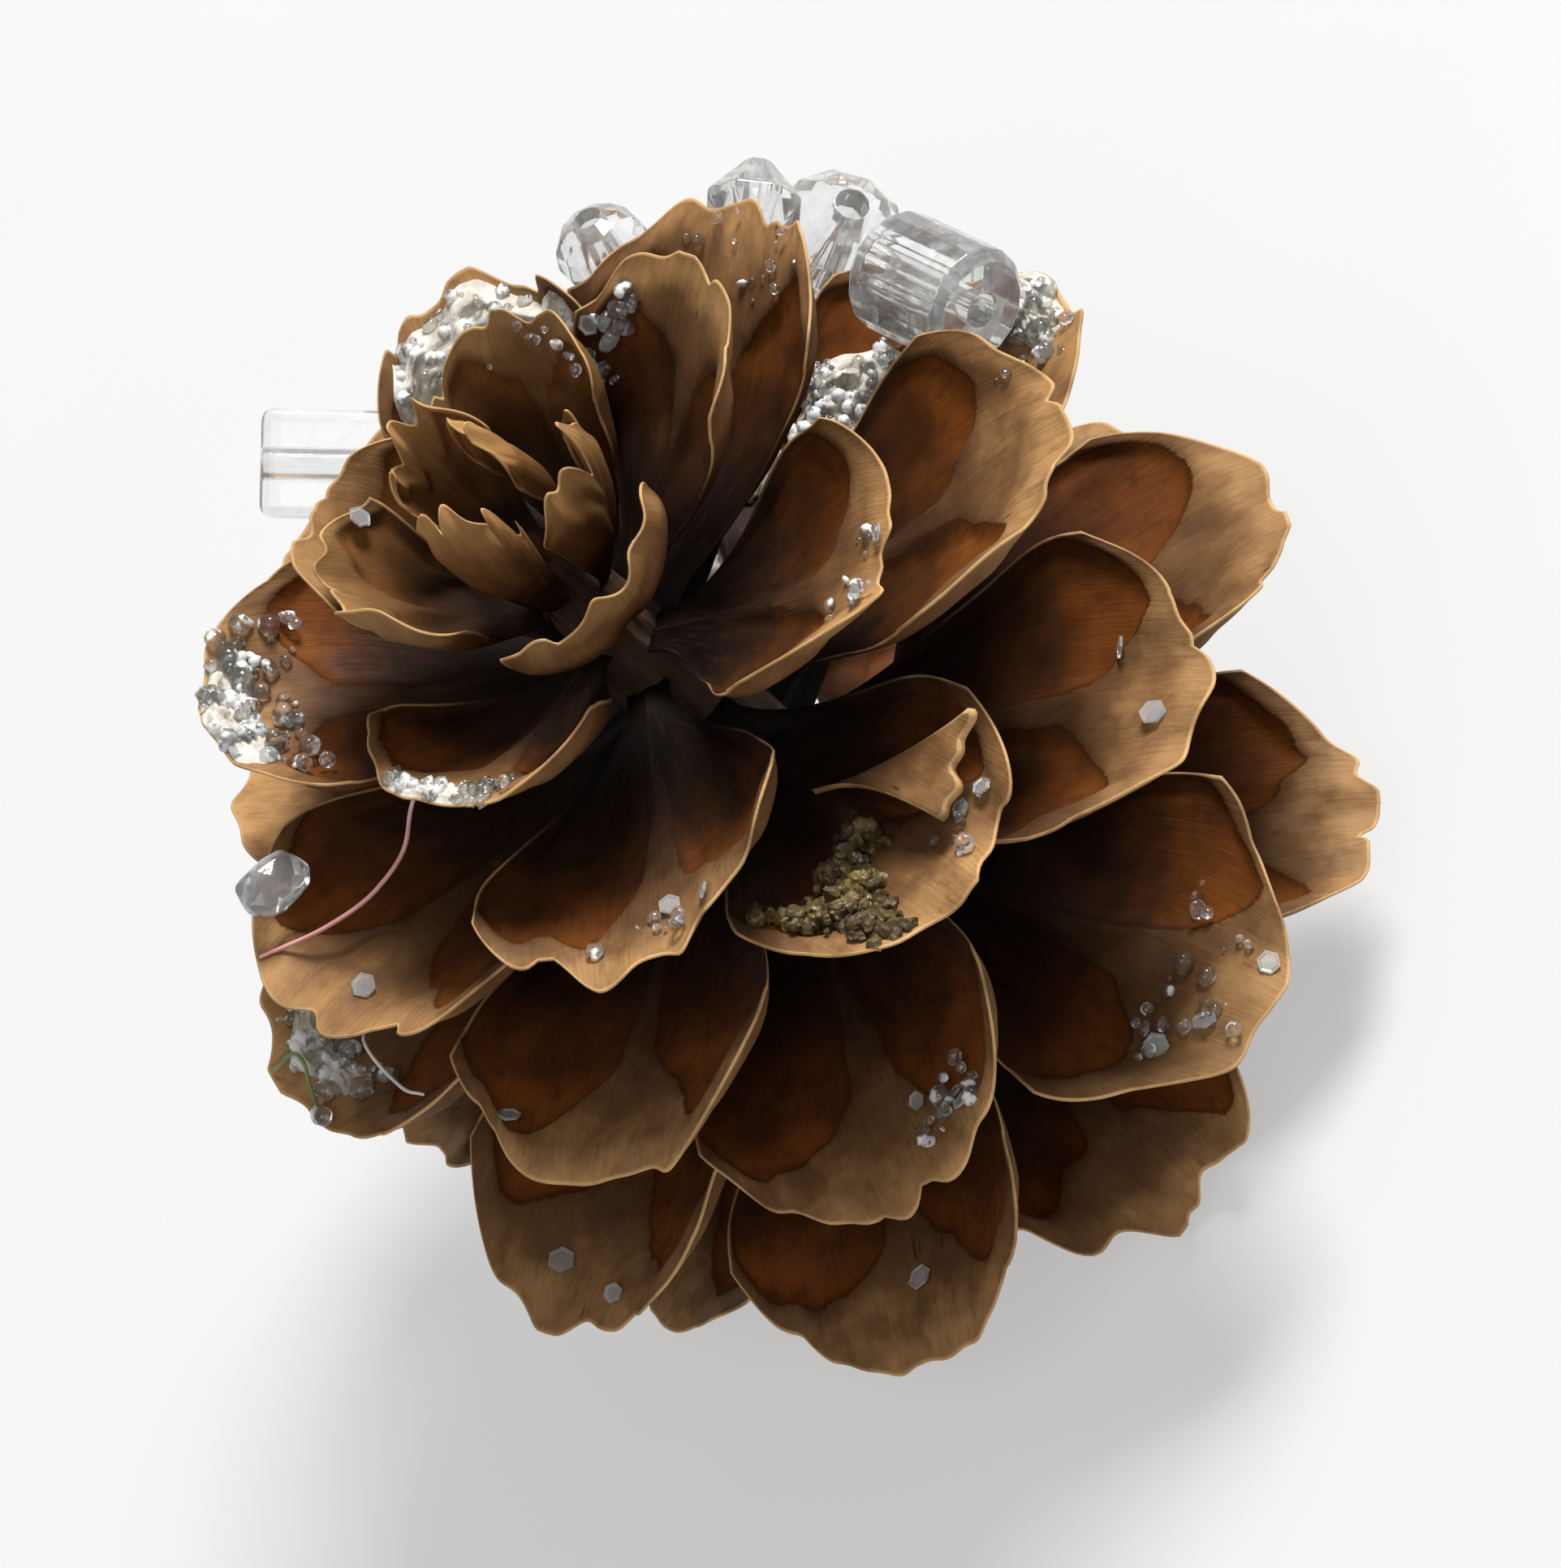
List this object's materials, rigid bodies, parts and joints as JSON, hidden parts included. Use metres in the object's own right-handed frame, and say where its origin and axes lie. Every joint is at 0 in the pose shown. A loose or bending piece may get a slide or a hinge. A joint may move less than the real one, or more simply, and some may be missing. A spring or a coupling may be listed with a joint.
{
  "type": "pine cone",
  "caption": "Small open spruce cone with thin cupped scales on a woody axis, carrying glass beads and artificial snow; stands tip up on its cut stalk.",
  "frame": {"origin": "centre of the flat cut face of the stalk", "axes": "+Z along the cone's axis from the stalk to the tip; -Y towards the side that carries no snow, +Y towards the snowed side"},
  "size_m": [0.0418, 0.0421, 0.0408],
  "materials": {
    "scale_wood": "matt, thin pale rims, dark wing marks",
    "axis_wood": "matt, dark",
    "clear_glass": "clear, polished",
    "snow": "granular, frosted",
    "resin": "crumbly, greenish yellow"
  },
  "bodies": {
    "root": {"cone_axis": "axis_wood", "scale_01": "scale_wood", "scale_02": "scale_wood", "scale_03": "scale_wood", "scale_04": "scale_wood", "scale_05": "scale_wood", "scale_06": "scale_wood", "scale_07": "scale_wood", "scale_08": "scale_wood", "scale_09": "scale_wood", "scale_10": "scale_wood", "scale_11": "scale_wood", "scale_12": "scale_wood", "scale_13": "scale_wood", "scale_14": "scale_wood", "scale_15": "scale_wood", "scale_16": "scale_wood", "scale_17": "scale_wood", "scale_18": "scale_wood", "scale_19": "scale_wood", "scale_20": "scale_wood", "scale_21": "scale_wood", "scale_22": "scale_wood", "scale_23": "scale_wood", "scale_24": "scale_wood", "scale_25": "scale_wood", "scale_26": "scale_wood", "scale_27": "scale_wood", "scale_28": "scale_wood", "scale_29": "scale_wood", "scale_30": "scale_wood", "scale_31": "scale_wood", "scale_32": "scale_wood", "scale_33": "scale_wood", "scale_34": "scale_wood", "scale_35": "scale_wood", "scale_36": "scale_wood", "scale_37": "scale_wood", "scale_38": "scale_wood", "scale_39": "scale_wood", "scale_40": "scale_wood", "scale_41": "scale_wood", "scale_42": "scale_wood", "scale_43": "scale_wood", "scale_44": "scale_wood", "bead_square": "clear_glass", "bead_round_1": "clear_glass", "bead_bicone": "clear_glass", "bead_round_2": "clear_glass", "bead_drum": "clear_glass", "bead_round_3": "clear_glass", "bead_tube": "clear_glass", "bead_chip": "clear_glass", "snow_crust_1": "snow", "snow_crust_2": "snow", "snow_crust_3": "snow", "snow_crust_4": "snow", "snow_crust_5": "snow", "resin_lump": "resin"}
  },
  "joints": []
}
